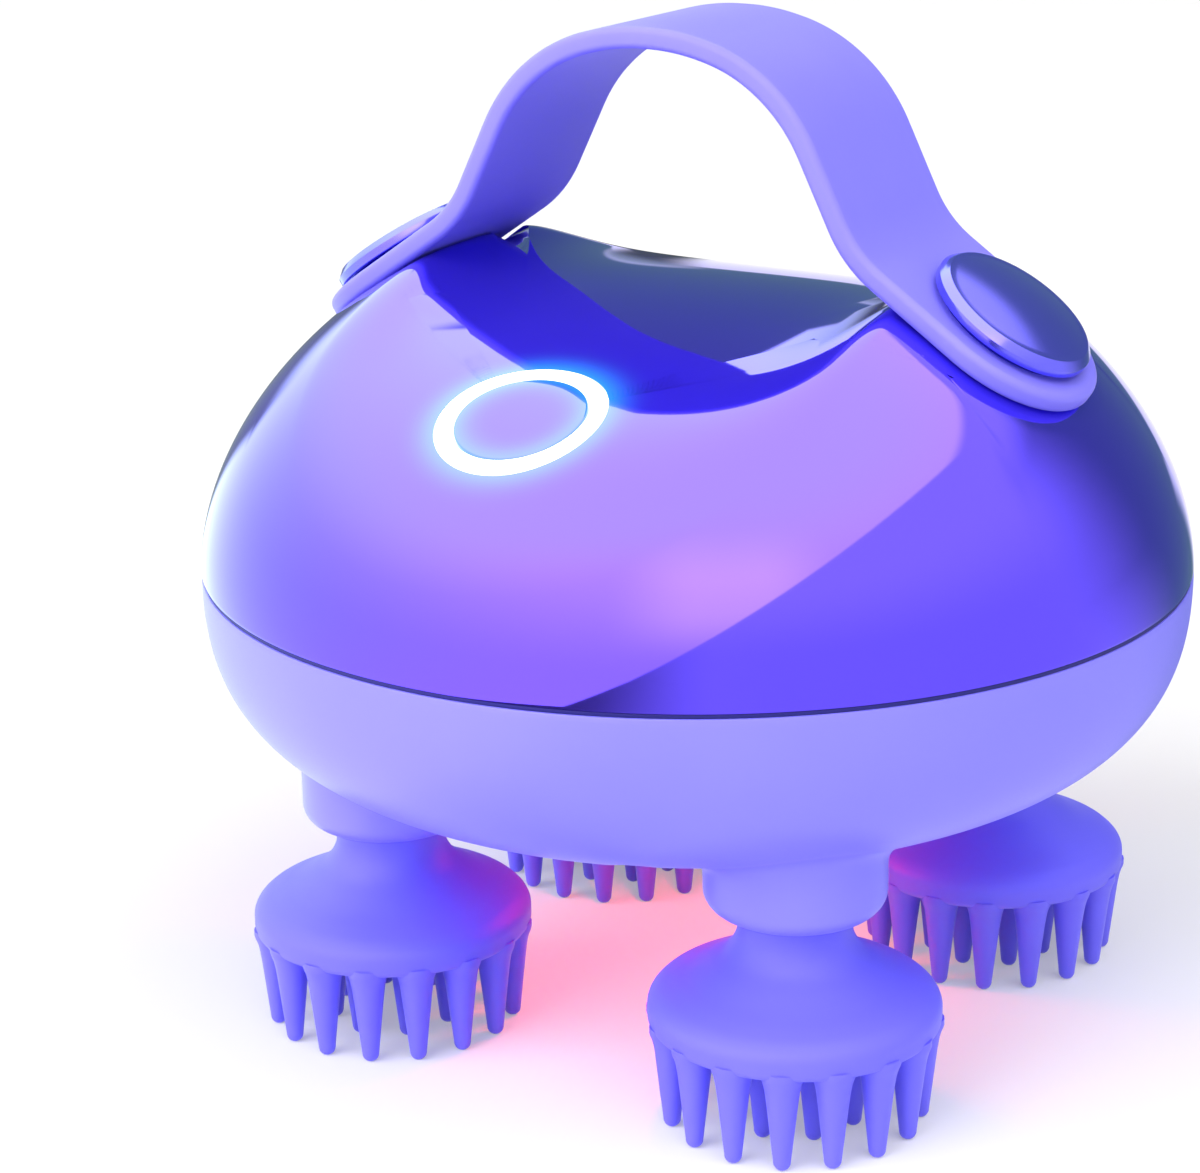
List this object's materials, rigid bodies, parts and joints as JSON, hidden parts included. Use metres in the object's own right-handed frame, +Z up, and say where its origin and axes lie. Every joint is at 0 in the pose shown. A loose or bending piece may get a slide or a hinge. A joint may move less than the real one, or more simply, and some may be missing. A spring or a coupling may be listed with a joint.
{
  "type": "electric scalp massager",
  "caption": "Palm-held electric scalp massager: a round case with a saddle top and a hand strap, standing on geared, turning bristle heads.",
  "frame": {"origin": "under the middle of the case, on the floor at the bristle tips", "axes": "+Z up, -Y to the front with the power button, the hand strap runs along X"},
  "size_m": [0.116, 0.116, 0.1175],
  "materials": {
    "shell_gloss": "mirror-gloss coloured shell",
    "shell_satin": "satin moulded shell",
    "gasket": "dark seam gasket",
    "strap_silicone": "satin silicone",
    "head_silicone": "matte silicone",
    "cap_gloss": "polished cap",
    "cap_trim": "dark ring under a cap",
    "ring_light": "lit white diffuser",
    "red_light": "translucent red lens",
    "led": "light-emitting diode",
    "core_plastic": "moulded hard plastic",
    "gear_plastic": "moulded acetal",
    "steel": "ground steel",
    "brass": "turned brass",
    "seal_rubber": "black rubber",
    "iron": "laminated iron and sintered magnet",
    "battery_wrap": "heat-shrink sleeve",
    "board_laminate": "printed circuit laminate",
    "component": "moulded component",
    "wire": "insulated wire"
  },
  "bodies": {
    "housing": {"lower_shell": "shell_satin", "upper_shell": "shell_gloss", "seam_gasket": "gasket", "strap": "strap_silicone", "strap_cap_left": "cap_gloss", "strap_cap_right": "cap_gloss", "cap_rings": "cap_trim", "strap_screws": "steel", "light_ring": "ring_light", "button_spring": "steel", "button_board": "board_laminate", "button_switch": "component", "ring_leds": "led", "shaft_bushes": "brass", "shaft_seals": "seal_rubber", "gear_axles": "steel", "gear_plate": "gear_plastic", "gearbox_cover": "gear_plastic", "gearbox_screws": "steel", "motor_can": "steel", "motor_magnets": "iron", "motor_cap": "core_plastic", "motor_terminals": "brass", "battery_cell": "battery_wrap", "battery_holder": "core_plastic", "main_board": "board_laminate", "board_components": "component", "board_screws": "steel", "charging_socket": "steel", "red_lens": "red_light", "light_board": "board_laminate", "light_leds": "led", "wiring": "wire", "case_screws": "steel"},
    "front_left_head": {"massage_head_front_left": "head_silicone", "head_core_front_left": "core_plastic", "output_shaft_front_left": "steel", "output_gear_front_left": "gear_plastic"},
    "front_right_head": {"massage_head_front_right": "head_silicone", "head_core_front_right": "core_plastic", "output_shaft_front_right": "steel", "output_gear_front_right": "gear_plastic"},
    "rear_left_head": {"massage_head_rear_left": "head_silicone", "head_core_rear_left": "core_plastic", "output_shaft_rear_left": "steel", "output_gear_rear_left": "gear_plastic"},
    "rear_right_head": {"massage_head_rear_right": "head_silicone", "head_core_rear_right": "core_plastic", "output_shaft_rear_right": "steel", "output_gear_rear_right": "gear_plastic"},
    "left_drive": {"drive_gear_left": "gear_plastic"},
    "right_drive": {"drive_gear_right": "gear_plastic"},
    "second_stage": {"second_stage_pinion": "steel", "second_stage_wheel": "gear_plastic"},
    "first_stage": {"first_stage_gear": "gear_plastic"},
    "motor_rotor": {"motor_shaft": "steel", "motor_pinion": "brass", "armature": "iron"},
    "power_button": {"power_button": "shell_gloss"},
    "charging_plug": {"charging_plug": "shell_gloss"}
  },
  "joints": [
    {"name": "front_left_head_spin", "type": "hinge", "parent": "housing", "child": "front_left_head", "pos_m": [-0.027, -0.02618, 0.0428], "axis": [0, 0, 1], "continuous": true},
    {"name": "front_right_head_spin", "type": "hinge", "parent": "housing", "child": "front_right_head", "pos_m": [0.027, -0.02618, 0.0428], "axis": [0, 0, 1], "continuous": true},
    {"name": "rear_left_head_spin", "type": "hinge", "parent": "housing", "child": "rear_left_head", "pos_m": [-0.027, 0.02618, 0.0428], "axis": [0, 0, 1], "continuous": true},
    {"name": "rear_right_head_spin", "type": "hinge", "parent": "housing", "child": "rear_right_head", "pos_m": [0.027, 0.02618, 0.0428], "axis": [0, 0, 1], "continuous": true},
    {"name": "left_drive_spin", "type": "hinge", "parent": "housing", "child": "left_drive", "pos_m": [-0.016, 0, 0.0428], "axis": [0, 0, 1], "continuous": true},
    {"name": "right_drive_spin", "type": "hinge", "parent": "housing", "child": "right_drive", "pos_m": [0.016, 0, 0.0428], "axis": [0, 0, 1], "continuous": true},
    {"name": "second_stage_spin", "type": "hinge", "parent": "housing", "child": "second_stage", "pos_m": [-0.00212, -0.01655, 0.0428], "axis": [0, 0, 1], "continuous": true},
    {"name": "first_stage_spin", "type": "hinge", "parent": "housing", "child": "first_stage", "pos_m": [0.01131, -0.0088, 0.0428], "axis": [0, 0, 1], "continuous": true},
    {"name": "motor_spin", "type": "hinge", "parent": "housing", "child": "motor_rotor", "pos_m": [-0.00212, -0.00105, 0.0428], "axis": [0, 0, 1], "continuous": true},
    {"name": "power_button_press", "type": "slide", "parent": "housing", "child": "power_button", "axis": [0, 0.3689, -0.9295], "range_m": [0, 0.0008], "stiffness_N_per_m": 400, "deforming": ["button_spring"]},
    {"name": "charging_plug_pull", "type": "slide", "parent": "housing", "child": "charging_plug", "axis": [0, 1, 0], "range_m": [0, 0.008]}
  ],
  "couplings": [
    {"joint": "rear_left_head_spin", "follows": "front_left_head_spin", "ratio": 1},
    {"joint": "front_right_head_spin", "follows": "front_left_head_spin", "ratio": -1},
    {"joint": "rear_right_head_spin", "follows": "front_left_head_spin", "ratio": -1},
    {"joint": "left_drive_spin", "follows": "front_left_head_spin", "ratio": -0.775},
    {"joint": "right_drive_spin", "follows": "front_left_head_spin", "ratio": 0.775},
    {"joint": "second_stage_spin", "follows": "front_left_head_spin", "ratio": 2.2143},
    {"joint": "first_stage_spin", "follows": "front_left_head_spin", "ratio": -7.5918},
    {"joint": "motor_spin", "follows": "front_left_head_spin", "ratio": 26.029}
  ]
}
